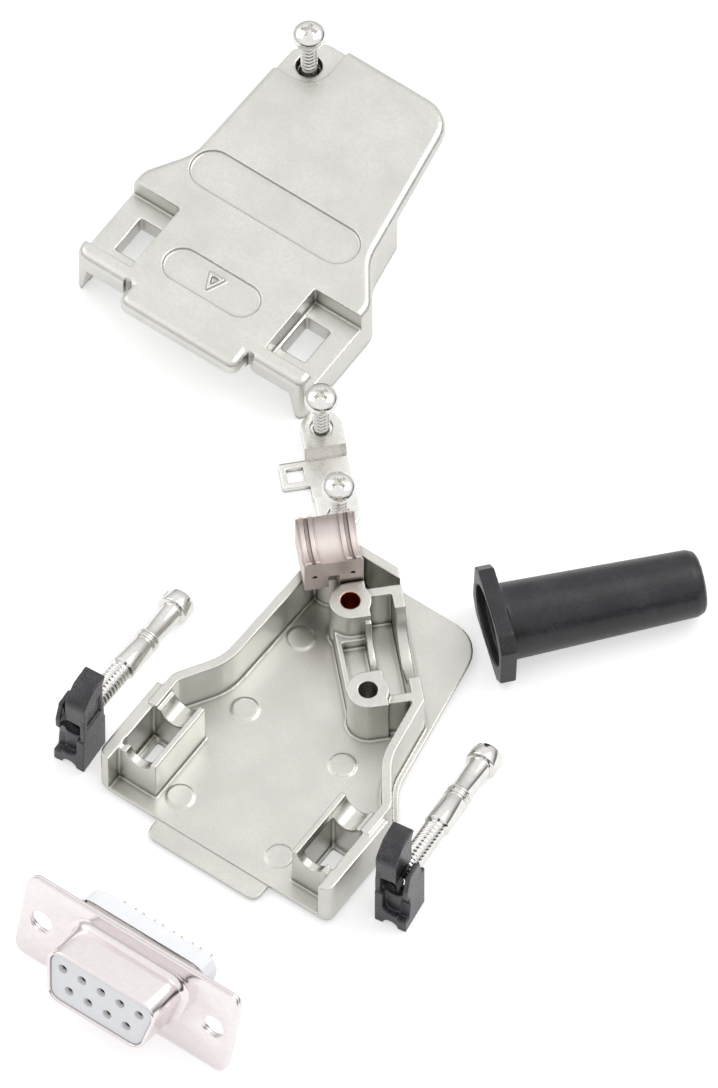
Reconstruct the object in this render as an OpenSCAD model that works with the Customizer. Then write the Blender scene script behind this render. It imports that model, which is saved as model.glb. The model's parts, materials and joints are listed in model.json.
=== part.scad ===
// Die-cast D-sub hood with a 45 degree cable exit, and the nine-way connector
// it closes over. The kit lies unpacked on a bench: base, cover, cable clamp,
// two captive jackscrews in their clips, cable grommet and connector.
// Millimetres: X across the base's mouth, Y from the mouth to its rear, Z up,
// the base's underside at Z = 0. Shells, clamp and screws are drawn where they
// sit in the closed hood and are then carried to their places on the bench.

/* [Hood shell] */
// Width across the mouth
hood_w = 33.8; // [32.6:0.2:38]
// Length of the shells, mouth to rear
hood_l = 42.8; // [40:0.4:52]
// Height of the closed hood
hood_h = 15.4; // [14.4:0.2:18]
// Wall of the castings
wall_t = 1.2; // [1:0.1:1.4]
// Rounding of the outer edges
edge_r = 0.9; // [0.4:0.05:0.95]
// Step from the base's edge back to its wall
ledge = 0.85; // [0.5:0.05:1]
// Length of the wide front part that holds the jackscrews
front_l = 14.5; // [13.5:0.5:18]
// Draw-in of the side behind the left shoulder
neck_in_left = 3.5; // [2:0.1:3.8]
// Draw-in of the side behind the right shoulder
neck_in_right = 4; // [2.8:0.1:4.4]
// Draw-in of the right side at the rear
rear_in_right = 7.8; // [6:0.1:8.4]
// Width of the tongue at the mouth
tongue_w = 16.2; // [14:0.2:18]
// Reach of the tongue beyond the mouth
tongue_l = 2.6; // [1.5:0.1:3.5]
// How much wider the cover's tongue is than the base's
cover_tongue_extra = 1; // [0:0.1:1.4]

/* [Jackscrew chambers] */
// Distance between the two jackscrews, as on the connector's flange
jack_pitch = 24.99; // [24.9:0.01:25.1]
// Thickness of the wall between a chamber and the hood's inside
chamber_wall = 1; // [0.8:0.1:1.4]
// Inner width of a chamber
chamber_w = 4.4; // [4.1:0.1:4.6]
// Front face of the front bulkhead, behind the mouth
bulkhead_y = 2.2; // [1.8:0.1:2.6]
// Thickness of the front bulkhead
bulkhead_t = 1.2; // [0.8:0.1:1.6]
// Free length of a chamber between its bulkheads
chamber_l = 5.9; // [5:0.1:7]
// Thickness of the rear bulkhead
rear_bulkhead_t = 3.1; // [2:0.1:3.6]
// Depth of the cover's corner pockets below its top
pocket_depth = 2.8; // [2:0.1:3.4]
// Width of the windows over and under the chambers
window_w = 3.6; // [2:0.1:4]
// Length of the windows
window_l = 5.4; // [3:0.1:5.6]

/* [Cable clamp] */
// Angle of the cable exit from straight back towards the right
exit_angle = 45; // [45:1:50]
// Pitch of the two clamp screws
clamp_pitch = 12.7; // [12:0.1:13.4]
// Middle between the clamp screws, across the hood
clamp_x = 0.1; // [-0.5:0.1:0.5]
// Middle between the clamp screws, behind the mouth
clamp_y = 29.9; // [29:0.1:31]
// Top of the clamp bosses above the underside
clamp_boss_top = 8.6; // [8:0.1:9.4]
// Radius of the clamp bosses
clamp_boss_r = 2.55; // [2.2:0.05:2.8]
// Height of the pad between the clamp bosses
clamp_pad_top = 4.6; // [3.6:0.1:5]
// Radius of the clamp and cover screws
screw_r = 1.1; // [0.95:0.05:1.3]
// Radius of their heads
screw_head_r = 2.1; // [1.9:0.05:2.4]
// Height of their heads
screw_head_h = 1.7; // [1.2:0.1:2]
// Shank of a clamp screw
clamp_screw_l = 8; // [7:0.5:9]
// Shank of the cover screw
cover_screw_l = 12.4; // [10:0.2:12.6]
// Sheet of the clamp bracket
bracket_t = 0.8; // [0.6:0.1:1]
// Width of the clamp bracket along the cable
bracket_w = 5.1; // [4.8:0.1:5.8]
// Step of the bracket's middle below its ends
bracket_step = 1.5; // [1.2:0.1:2.4]
// Length of the bracket's tab
tab_l = 3.35; // [2.8:0.05:4]
// Width of the bracket's tab
tab_w = 3.6; // [3.2:0.1:4.4]
// How far the tab lies from the bracket's middle
tab_shift = 1; // [0:0.1:1.2]
// Length of the clamp jaw along the cable
jaw_l = 7.2; // [6.4:0.1:7.6]
// Width of the clamp jaw across the cable
jaw_w = 6.8; // [6.2:0.1:7]
// Height of the clamp jaw
jaw_h = 5.8; // [4.8:0.1:6.2]
// Radius of the jaw's cradle
jaw_r = 3.4; // [3:0.1:3.8]

/* [Jackscrews] */
// Length of a jackscrew over its head
jack_l = 24; // [22:0.5:27]
// Radius of its head
jack_head_r = 2.05; // [1.9:0.05:2.15]
// Height of its head
jack_head_h = 2.2; // [1.8:0.1:2.6]
// Radius of its neck and of its thread
jack_r = 1.42; // [1.3:0.02:1.5]
// Radius of its thicker middle
jack_mid_r = 1.62; // [1.56:0.02:1.74]
// Thickness of a clip along the screw
clip_d = 5; // [4.4:0.1:5.4]
// Width of a clip
clip_w = 4.2; // [3.9:0.1:4.3]
// Height of a clip
clip_h = 15; // [14:0.1:16]
// Height of the screw's axis in the clip
clip_hole_z = 7.2; // [6.8:0.1:7.6]

/* [Grommet] */
// Length of the grommet
grommet_l = 26.4; // [22:0.2:30]
// Radius of its sleeve at the flange
grommet_r = 4.7; // [4.2:0.1:4.8]
// Radius of its sleeve at the tip
grommet_tip_r = 4.1; // [3.6:0.1:4.1]
// Radius of its bore
grommet_bore_r = 3; // [2.4:0.1:3.1]
// Width of its flange
grommet_flange_w = 13; // [12:0.1:13.2]
// Height of its flange
grommet_flange_h = 9.6; // [9.4:0.1:10]
// Thickness of its flange
grommet_flange_t = 2; // [1.6:0.1:2.2]

/* [Connector] */
// Width of the flange
flange_w = 30.81; // [30.6:0.01:31]
// Height of the flange
flange_h = 12.55; // [12.4:0.01:12.7]
// Sheet of each half of the flange
flange_t = 0.45; // [0.4:0.05:0.6]
// Radius of the mounting holes
flange_hole_r = 1.525; // [1.5:0.005:1.6]
// Width of the D-shaped shell
shell_w = 16.33; // [16.2:0.01:16.5]
// Height of the D-shaped shell
shell_h = 7.9; // [7.8:0.01:8]
// Reach of the shell in front of the flange
shell_l = 6.1; // [5.8:0.05:6.4]
// Pitch of the contacts in a row
contact_pitch = 2.77; // [2.74:0.01:2.8]
// Distance between the two rows
row_pitch = 2.84; // [2.8:0.01:2.88]
// Radius of the contact holes
contact_hole_r = 0.62; // [0.55:0.01:0.7]
// Depth of the white body behind the flange
body_depth = 4.5; // [4:0.1:5]

/* [Fits] */
// Radial play of a screw in a bore that it turns in
running_fit = 0.06; // [0.03:0.01:0.09]
// Room between pieces that are laid into each other
seat_fit = 0.25; // [0.15:0.05:0.3]

/* [Bench] */
// From the base's left side to the middle of the cover's mouth, across
cover_dx = 26.8; // [26.4:0.1:32]
// From the base's rear to the cover's mouth
cover_dy = 13.2; // [10:0.1:18]
// From the cover's right side to the middle of the bracket, across
bracket_dx = 7.5; // [7:0.1:9]
// From the base's rear to the middle of the bracket
bracket_dy = 8.4; // [8:0.1:10]
// Middle of the clamp jaw from the cover screw's boss it stands on, towards the mouth
jaw_dy = 1.2; // [0.2:0.1:1.3]
// Gap between the base and the left clip, across
left_clip_gap = 2.6; // [1:0.1:8]
// Left clip, behind the base's mouth
left_clip_y = 3; // [0:0.1:12]
// Angle by which the left clip and its screw are turned to the left
left_clip_turn = 4; // [0:0.5:6]
// Gap between the base and the right clip, across
right_clip_gap = 3.4; // [2.4:0.1:8]
// Right clip, behind the base's mouth
right_clip_y = 6.8; // [2:0.1:11]
// Angle by which the right clip and its screw are turned to the left
right_clip_turn = 8; // [0:0.5:8]
// Gap from the exit to the grommet's flange
grommet_gap = 9.4; // [8:0.2:20]
// Sideways from the exit's middle to the grommet's flange
grommet_shift = 2.5; // [0:0.1:3]
// Direction in which the grommet lies, from the X axis
grommet_heading = 50; // [45:1:55]
// Middle of the connector's flange, across
connector_x = 3.5; // [-6:0.1:8]
// Middle of the connector's flange, in front of the base's mouth
connector_dy = 24; // [14:0.1:30]

/* [Hidden] */
$fn = 48;
eps = 0.01;
ARC_STEPS = 3;
INNER_R = 0.3;

parting_z = hood_h / 2;
neck_left = hood_w / 2 - neck_in_left;
neck_right = hood_w / 2 - neck_in_right;
rear_right = hood_w / 2 - rear_in_right;
cover_floor_z = hood_h - pocket_depth;
jack_x = jack_pitch / 2;
jack_z = parting_z;
leg_w = 2;
leg_tip_w = 1.1;
rim_h = 3;
cover_tongue_w = tongue_w + cover_tongue_extra;
pocket_x = jack_x - 2.55;
window_x = jack_x - 0.3;
window_y = bulkhead_y + bulkhead_t + 1.2;
chamber_in = jack_x - 1.6;
chamber_out = chamber_in + chamber_w;
chamber_back = bulkhead_y + bulkhead_t + chamber_l;
chamber_end = chamber_back + rear_bulkhead_t;
shoulder_y = front_l + 5.5;
ear_corner = 3;
boss_inset = 3.9;
cover_screw_at = [-neck_left + boss_inset - 0.3, hood_l - boss_inset];
cover_boss_r = boss_inset - wall_t + 0.3;
ear_drop = 1.6;
ear_r = 3.3;
screw_bore_r = screw_r + running_fit;
screw_ring_r = screw_r + 0.5;
screw_ring_t = 0.45;
tip_chamfer = 0.35;
clamp_gap = clamp_pitch / 2 - clamp_boss_r;
partition_t = 0.8;
partition_x = 1.3;
trough_x = partition_x + partition_t;
trough_w = grommet_flange_t + 4 * seat_fit;
exit_wall_t = 1.4;
exit_x = trough_x + trough_w + exit_wall_t;
exit_half = grommet_flange_w / 2 + 2 * seat_fit;
pad_rim = 0.7;
bracket_end_r = bracket_w / 2;
tab_slot = [1.9, 2.1];
collar_y = 7.5;
collar_l = 1.6;
undercut_y = 14.1;
clip_from_head = jack_l - 0.5;
jack_tilt = asin((clip_hole_z - jack_head_r) / clip_from_head);
grommet_tilt = asin((grommet_flange_h / 2 - grommet_tip_r) / grommet_l);
rear_body = [19.2, 10.4];
lean = atan((flange_h - rear_body[1]) / 2 / (body_depth - flange_t));
shell_slope = 10;
cup_r = 0.95;
cup_l = 3.6;
contact_names = [for (i = [1:9]) str("contact_", i)];

// ---- outlines with rounded corners -----------------------------------------

function unit(v) = v / norm(v);
function left_of(v) = [-v[1], v[0]];
function turned(v, a) = [v[0] * cos(a) - v[1] * sin(a), v[0] * sin(a) + v[1] * cos(a)];
function at(list, i) = list[(i + len(list)) % len(list)];
function xy(corner) = [corner[0], corner[1]];

// Signed angle by which a path a-b-c turns at b
function bend(a, b, c) =
    let (u = unit(b - a), v = unit(c - b))
    atan2(u[0] * v[1] - u[1] * v[0], u * v);

// Corners [x, y, radius] moved inwards by d, their radii following
function inset(corners, d) = [
    for (i = [0:len(corners) - 1])
        let (a = xy(at(corners, i - 1)), b = xy(at(corners, i)), c = xy(at(corners, i + 1)),
             n1 = left_of(unit(b - a)), n2 = left_of(unit(c - b)),
             p = b + d * (n1 + n2) / (1 + n1 * n2),
             r = corners[i][2] - sign(bend(a, b, c)) * d)
        [p[0], p[1], max(r, INNER_R)]
];

// The arc that rounds one corner
function corner_arc(a, b, c, r, steps) =
    let (th = bend(a, b, c), s = sign(th), u = unit(b - a),
         start = b - r * tan(abs(th) / 2) * u, centre = start + s * r * left_of(u))
    [for (i = [0:steps]) centre + turned(-s * r * left_of(u), th * i / steps)];

// Outline of the corners, moved inwards by d
function outline(corners, d = 0) =
    let (k = inset(corners, d))
    [for (i = [0:len(k) - 1])
        each corner_arc(xy(at(k, i - 1)), xy(k[i]), xy(at(k, i + 1)), k[i][2],
                        corners[i][2] > 2 ? 2 * ARC_STEPS : ARC_STEPS)];

module flat(corners, d = 0) polygon(outline(corners, d));

// Solid through the outline at stations [inset, z], from bottom to top. Its two
// ends are fans round their middles
module loft(corners, stations) {
    rings = [for (s = stations) [for (p = outline(corners, s[0])) [p[0], p[1], s[1]]]];
    n = len(rings[0]);
    top = len(rings) - 1;
    shares = [for (i = [1:n]) 1 / n];
    bottom_middle = (top + 1) * n;
    polyhedron(
        points = [for (r = rings) each r, shares * rings[0], shares * rings[top]],
        faces = [
            for (i = [0:n - 1]) each [
                [i, (i + 1) % n, bottom_middle],
                [top * n + (i + 1) % n, top * n + i, bottom_middle + 1]],
            for (k = [0:top - 1], i = [0:n - 1])
                each [[k * n + i, (k + 1) * n + i, (k + 1) * n + (i + 1) % n],
                      [k * n + i, (k + 1) * n + (i + 1) % n, k * n + (i + 1) % n]]
        ]);
}

// Stations of a quarter-round edge of radius r between two heights
function round_down(r, z0, z1) =
    [for (a = [90:-30:0]) [r * (1 - cos(a)), z0 + r * (1 - sin(a))], [0, z1]];
function round_up(r, z0, z1) =
    [[0, z0], for (a = [0:30:90]) [r * (1 - cos(a)), z1 - r * (1 - sin(a))]];

function box_corners(x0, y0, x1, y1, r) =
    [[x0, y0, r], [x1, y0, r], [x1, y1, r], [x0, y1, r]];

// ---- the hood's outline ----------------------------------------------------

hood = [
    [-hood_w / 2, 0, 1.6], [hood_w / 2, 0, 1.2],
    [hood_w / 2, front_l, 3], [neck_right, shoulder_y, 6],
    [rear_right, hood_l, 4.5],
    [-neck_left + ear_corner + 0.6, hood_l, 1.2], [-neck_left + 0.6, hood_l - ear_corner, 1.2],
    [-neck_left, shoulder_y, 6], [-hood_w / 2, front_l, 3]
];

// Frame of the cable exit: X out along the cable, Y towards the upper clamp screw
module at_exit() translate([clamp_x, clamp_y]) rotate(exit_angle) children();

module clamp_holes() for (s = [-1, 1]) translate([0, s * clamp_pitch / 2]) children();

module both_sides() for (s = [0, 1]) mirror([s, 0, 0]) children();

// Bar of the cross-section x0..x1 across the exit, as long as the hood allows
module across_exit(x0, x1) intersection() {
    at_exit() translate([x0, -exit_half - wall_t]) square([x1 - x0, 2 * (exit_half + wall_t)]);
    flat(hood, ledge);
}

// ---- base shell ------------------------------------------------------------

// Wall, web or boss that stands on the plate, above its rounded edge
module raised(top) translate([0, 0, edge_r]) linear_extrude(top - edge_r) children();

module base_wall() raised(parting_z) difference() {
    flat(hood, ledge);
    flat(hood, ledge + wall_t);
    translate([-hood_w, -1]) square([2 * hood_w, chamber_back + 1]);
    at_exit() translate([exit_x, -2 * hood_l]) square([2 * hood_l, 4 * hood_l]);
}

// One chamber, on the right
module base_chamber() {
    // Outer wall, flush with the casting's edge
    raised(parting_z - 0.2) intersection() {
        translate([chamber_out, 0]) square([hood_w, chamber_end]);
        flat(hood);
    }
    // Inner wall
    raised(parting_z) translate([chamber_in - chamber_wall, bulkhead_y])
        square([chamber_wall, chamber_end - bulkhead_y]);
    for (b = [[bulkhead_y, bulkhead_t], [chamber_back, rear_bulkhead_t]])
        raised(parting_z - 0.4) translate([chamber_in - eps, b[0]])
            square([chamber_w + 2 * eps, b[1]]);
}

module base_clamp_seat() {
    // Bosses for the clamp screws, each with a web back to the partition
    raised(clamp_boss_top) at_exit() clamp_holes() {
        circle(clamp_boss_r);
        translate([0, -clamp_boss_r]) square([partition_x + partition_t, 2 * clamp_boss_r]);
    }
    // Pad between the bosses, with a rim round its pocket
    raised(clamp_pad_top) at_exit() difference() {
        translate([-clamp_boss_r + 0.3, -clamp_pitch / 2])
            square([clamp_boss_r + partition_x, clamp_pitch]);
        translate([-clamp_boss_r + 0.3 + pad_rim, -clamp_gap + pad_rim])
            square([clamp_boss_r + partition_x - 0.3 - pad_rim, 2 * (clamp_gap - pad_rim)]);
    }
    raised(clamp_pad_top - 1.6) at_exit()
        translate([-clamp_boss_r + 0.3, -clamp_gap]) square([clamp_boss_r + partition_x, 2 * clamp_gap]);
    // Partition and outer wall, with the grommet's trough between them
    raised(parting_z) across_exit(partition_x, trough_x);
    raised(parting_z) across_exit(trough_x + trough_w, exit_x);
    // Closed ends of the trough
    raised(parting_z) difference() {
        across_exit(partition_x, exit_x);
        at_exit() translate([0, -exit_half]) square([2 * exit_x, 2 * exit_half]);
    }
}

module exit_axis(r, x0, x1) at_exit() translate([x0, 0, parting_z]) rotate([0, 90, 0])
    cylinder(r = r, h = x1 - x0);

module base_shell() color([0.86, 0.86, 0.84]) difference() {
    union() {
        loft(hood, round_down(edge_r, 0, wall_t));
        // Tongue under the connector's flange
        loft(box_corners(-tongue_w / 2, -tongue_l, tongue_w / 2, 2, 1.2),
             round_down(0.6, 0, wall_t - 0.25));
        base_wall();
        both_sides() base_chamber();
        base_clamp_seat();
        // Boss for the cover screw, in the rear corner
        raised(parting_z) translate(cover_screw_at) circle(cover_boss_r);
        // Round marks left by the ejector pins
        for (p = [[-8.8, 30.4], [-8.4, 18.4], [-7.6, 4], [6.9, 4], [5.6, 18.7]])
            translate([p[0], p[1], wall_t - 0.3]) cylinder(r = 1.6, h = 0.45);
    }
    both_sides() {
        // Seats of the jackscrew, in both bulkheads
        translate([jack_x, bulkhead_y - 1, jack_z]) rotate([-90, 0, 0])
            cylinder(r = jack_r + 0.4, h = chamber_end - bulkhead_y + 2);
        // Window in the chamber's floor
        translate([chamber_in + 0.2, bulkhead_y + bulkhead_t + 0.2, -1])
            cube([chamber_w - 1, window_l, wall_t + 2]);
        // Slot for the clip's barb, in the outer wall
        translate([chamber_out - 0.5, bulkhead_y + 0.9, wall_t]) cube([0.6, 0.9, hood_h]);
    }
    // Way out for the cable and seat of the grommet's sleeve
    exit_axis(grommet_bore_r + seat_fit, partition_x - 1, trough_x + 1);
    exit_axis(grommet_r + seat_fit, trough_x + trough_w - eps, exit_x + 1);
    // Threaded holes of the clamp screws and the cover screw
    at_exit() clamp_holes() translate([0, 0, clamp_boss_top - clamp_screw_l + 1])
        cylinder(r = screw_bore_r, h = clamp_screw_l);
    translate([cover_screw_at[0], cover_screw_at[1], hood_h - ear_drop - cover_screw_l - 0.3])
        cylinder(r = screw_bore_r, h = cover_screw_l);
}

// ---- cover shell -----------------------------------------------------------

// Room inside the cover, under its plate
module cover_inside() translate([0, 0, parting_z - 1])
    linear_extrude(hood_h - wall_t - parting_z + 1) flat(hood, wall_t);

// Mouth between the legs at the front corners, and the side where the cable leaves
module cover_openings() {
    x = hood_w / 2 - leg_w;
    translate([0, wall_t + 0.5, parting_z]) rotate([90, 0, 0]) linear_extrude(wall_t + 1.5)
        polygon([[-x, hood_h - parting_z - rim_h], [-x - leg_w + leg_tip_w, 0], [-x, -1],
                 [x, -1], [x + leg_w - leg_tip_w, 0], [x, hood_h - parting_z - rim_h]]);
    translate([0, 0, parting_z - 1]) linear_extrude(hood_h - parting_z + 1 - wall_t - 0.3)
        at_exit() translate([exit_x - 0.4, -2 * hood_l]) square([2 * hood_l, 4 * hood_l]);
}

// Corner block that carries a pocket and the collar of its window
module cover_corner() {
    translate([0, 0, cover_floor_z - wall_t]) linear_extrude(pocket_depth + wall_t - 0.5)
        intersection() {
            translate([pocket_x - wall_t, 0]) square([hood_w, chamber_end + wall_t]);
            flat(hood, 0.5);
        }
    translate([window_x - window_w / 2 - 1, window_y - 0.7, cover_floor_z - wall_t - 1.4])
        cube([window_w + 2, window_l + 1.4, 2]);
}

// Pocket open to the side, with the window in its floor
module cover_pocket() {
    translate([pocket_x, bulkhead_y, cover_floor_z])
        cube([hood_w, chamber_end - bulkhead_y, hood_h]);
    translate([window_x - window_w / 2, window_y, parting_z])
        cube([window_w, window_l, hood_h]);
}

// Rear-left corner that lies lower than the top, with a scalloped step round the screw
module ear_plan(r) translate(cover_screw_at) {
    circle(r);
    translate([-hood_w, -r]) square([hood_w, hood_w]);
    translate([-hood_w, 0]) square([hood_w + r, hood_w]);
}

module stadium(w, h) flat(box_corners(-w / 2, -h / 2, w / 2, h / 2, h / 2 - 0.02));

// Open arrow head that points to the mouth
module arrow() difference() {
    polygon([[-1.15, 1.2], [0, -1.3], [1.15, 1.2]]);
    polygon([[-0.6, 0.85], [0, -0.5], [0.6, 0.85]]);
}

module cover_shell() color([0.87, 0.87, 0.85]) on_bench("cover") difference() {
    union() {
        difference() {
            loft(hood, round_up(edge_r, parting_z, hood_h));
            cover_inside();
            cover_openings();
        }
        loft(box_corners(-cover_tongue_w / 2, -tongue_l, cover_tongue_w / 2, 2, 1.2),
             round_up(edge_r, hood_h - wall_t - 0.7, hood_h));
        both_sides() cover_corner();
        // Pillar of the cover screw and the floor of its ear
        translate([cover_screw_at[0], cover_screw_at[1], parting_z])
            cylinder(r = cover_boss_r, h = hood_h - parting_z - ear_drop - 0.3);
        translate([0, 0, hood_h - ear_drop - wall_t]) linear_extrude(ear_drop + wall_t - 0.5)
            intersection() {
                ear_plan(ear_r + wall_t);
                flat(hood, 0.5);
            }
    }
    both_sides() {
        cover_pocket();
        // Notch beside the tongue
        translate([cover_tongue_w / 2, -1, parting_z]) cube([0.9, 1.6, hood_h]);
    }
    translate([0, 0, hood_h - ear_drop]) linear_extrude(hood_h) ear_plan(ear_r);
    translate([cover_screw_at[0], cover_screw_at[1], 0]) cylinder(r = screw_bore_r, h = 2 * hood_h);
    translate([cover_screw_at[0], cover_screw_at[1], hood_h - ear_drop - 3 * screw_ring_t])
        cylinder(r = screw_ring_r, h = hood_h);
    // Bare label field, and the small field with its arrow
    translate([-0.8, 19.2, hood_h - 0.4]) linear_extrude(1) stadium(24, 5.6);
    translate([-0.7, 6, hood_h - 0.35]) linear_extrude(1) difference() {
        stadium(13.5, 4.9);
        arrow();
    }
}

// ---- screws ----------------------------------------------------------------

// Pan-head screw with its head's underside at Z = 0, pointing down
module pan_screw(length) difference() {
    union() {
        translate([0, 0, -length]) cylinder(r1 = screw_r - tip_chamfer, r2 = screw_r, h = tip_chamfer);
        translate([0, 0, tip_chamfer - length]) cylinder(r = screw_r, h = length - tip_chamfer);
        rotate_extrude() intersection() {
            translate([0, screw_head_h - 1.5 * screw_head_r]) circle(1.5 * screw_head_r, $fn = 64);
            union() {
                square([screw_head_r - 0.3, screw_head_h]);
                square([screw_head_r, screw_head_h - 0.3]);
            }
        }
    }
    // Cross recess
    for (a = [0, 90]) rotate(a) translate([-1.25, -0.27, screw_head_h - 1]) cube([2.5, 0.54, 2]);
}

module cover_screw() color([0.93, 0.93, 0.92]) on_bench("cover_screw")
    translate([cover_screw_at[0], cover_screw_at[1], hood_h - ear_drop]) rotate(20)
        pan_screw(cover_screw_l);

module clamp_screw(side) color([0.94, 0.94, 0.93]) on_bench("clamp_screw") at_exit()
    translate([0, side * clamp_pitch / 2, clamp_boss_top + bracket_t]) rotate(30)
        pan_screw(clamp_screw_l);
module clamp_screw_front() clamp_screw(-1);
module clamp_screw_rear() clamp_screw(1);

// ---- cable clamp -----------------------------------------------------------

// Side view of the stepped strap: ends at the top, middle lowered
module bracket_profile() {
    half = clamp_pitch / 2 + bracket_end_r - 0.4;
    low = 2.9;
    rise = 0.8;
    for (s = [0, 1]) mirror([s, 0]) polygon([
        [0, -bracket_step], [low, -bracket_step], [low + rise, 0], [half, 0],
        [half, bracket_t], [low + rise - 0.45, bracket_t],
        [low - 0.45, bracket_t - bracket_step], [0, bracket_t - bracket_step]
    ]);
}

module clamp_bracket() color([0.9, 0.9, 0.88]) on_bench("bracket") at_exit()
    translate([0, 0, clamp_boss_top]) difference() {
        union() {
            intersection() {
                translate([-bracket_w / 2, 0, 0]) rotate([90, 0, 90])
                    linear_extrude(bracket_w) bracket_profile();
                translate([0, 0, -bracket_step - 1])
                    linear_extrude(2 * hood_h) bracket_plan();
            }
            translate([-bracket_w / 2 - tab_l, tab_shift - tab_w / 2, -bracket_step])
                cube([tab_l + 0.5, tab_w, bracket_t]);
        }
        // Holes of the clamp screws, widened at the top
        clamp_holes() translate([0, 0, -1]) cylinder(r = screw_bore_r, h = bracket_t + 2);
        clamp_holes() translate([0, 0, bracket_t - screw_ring_t]) cylinder(r = screw_ring_r, h = 1);
        // Slot of the tab
        translate([-bracket_w / 2 - tab_l + 0.8, tab_shift - tab_slot[0] / 2, -bracket_step - 1])
            cube([tab_slot[1], tab_slot[0], bracket_t + 2]);
    }

module bracket_plan() {
    flat(box_corners(-bracket_w / 2, -clamp_pitch / 2 - bracket_end_r + 0.4,
                     bracket_w / 2, clamp_pitch / 2 + bracket_end_r - 0.4, 1.6));
}

module clamp_jaw() color([0.76, 0.72, 0.69]) on_bench("jaw") at_exit()
    translate([-jaw_l / 2, 0, clamp_pad_top]) difference() {
        union() {
            jaw_slice(-jaw_l / 2, jaw_l, jaw_r + 0.35);
            // Two gripping ridges at each end of the cradle
            for (x = [0.35, 1.45]) {
                jaw_slice(-jaw_l / 2 + x, 0.6, jaw_r);
                jaw_slice(jaw_l / 2 - x - 0.6, 0.6, jaw_r);
            }
        }
        // Keyway in each side and the blind dimples beside it
        for (s = [0, 1]) mirror([0, s, 0]) {
            translate([-0.65, -jaw_w / 2 - 1, -1]) cube([1.3, 1.9, 3.4]);
            for (x = [-2.3, 2.3]) translate([x, -jaw_w / 2 - 1, 2.6]) rotate([-90, 0, 0])
                cylinder(r = 0.3, h = 1.5);
        }
    }

// Slice of the jaw of the given cradle radius
module jaw_slice(x, length, r) translate([x, 0, 0]) rotate([90, 0, 90]) linear_extrude(length)
    difference() {
        translate([-jaw_w / 2, 0]) square([jaw_w, jaw_h]);
        translate([0, jaw_h + 1.2]) circle(r);
    }

// ---- jackscrews and clips --------------------------------------------------

// Jackscrew from its head at the origin to its thread, along -Y
module jackscrew_body() rotate([90, 0, 0]) difference() {
    rotate_extrude() polygon([
        [0, 0], [jack_head_r - 0.25, 0], [jack_head_r, 0.25],
        [jack_head_r, jack_head_h - 0.3], [jack_head_r - 0.3, jack_head_h],
        [jack_r, jack_head_h], [jack_r, collar_y], [jack_mid_r, collar_y + 0.2],
        each groove(collar_y + 0.4), each groove(collar_y + collar_l - 0.4),
        [jack_mid_r, undercut_y - 0.4], [jack_r - 0.3, undercut_y - 0.2],
        [jack_r - 0.3, undercut_y + 0.1], [jack_r, undercut_y + 0.2],
        [jack_r, jack_l - 0.5], [jack_r - 0.5, jack_l], [0, jack_l]
    ]);
    // Slot of the head
    translate([-jack_head_r - 1, -0.3, -1]) cube([2 * jack_head_r + 2, 0.6, 1.9]);
}

// Shallow turned groove that starts at y
function groove(y) = [[jack_mid_r, y], [jack_mid_r - 0.3, y + 0.05],
                      [jack_mid_r - 0.3, y + 0.4], [jack_mid_r, y + 0.45]];

// Where the clip of one side stands, and how it is turned
module clip_place(side)
    if (side < 0)
        translate([-hood_w / 2 - left_clip_gap - clip_w / 2, left_clip_y])
            rotate(left_clip_turn) children();
    else
        translate([hood_w / 2 + right_clip_gap + clip_w / 2, right_clip_y])
            rotate(right_clip_turn) children();

// Leans a jackscrew from its clip down to the rim of its head
module place_jack(side) clip_place(side) translate([0, 0, clip_hole_z])
    rotate([-jack_tilt, 0, 0]) translate([0, clip_from_head, 0]) children();

module jackscrew_left() color([0.94, 0.93, 0.91]) place_jack(-1) rotate([0, 25, 0]) jackscrew_body();
module jackscrew_right() color([0.94, 0.93, 0.91]) place_jack(1) rotate([0, 20, 0]) jackscrew_body();

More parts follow.
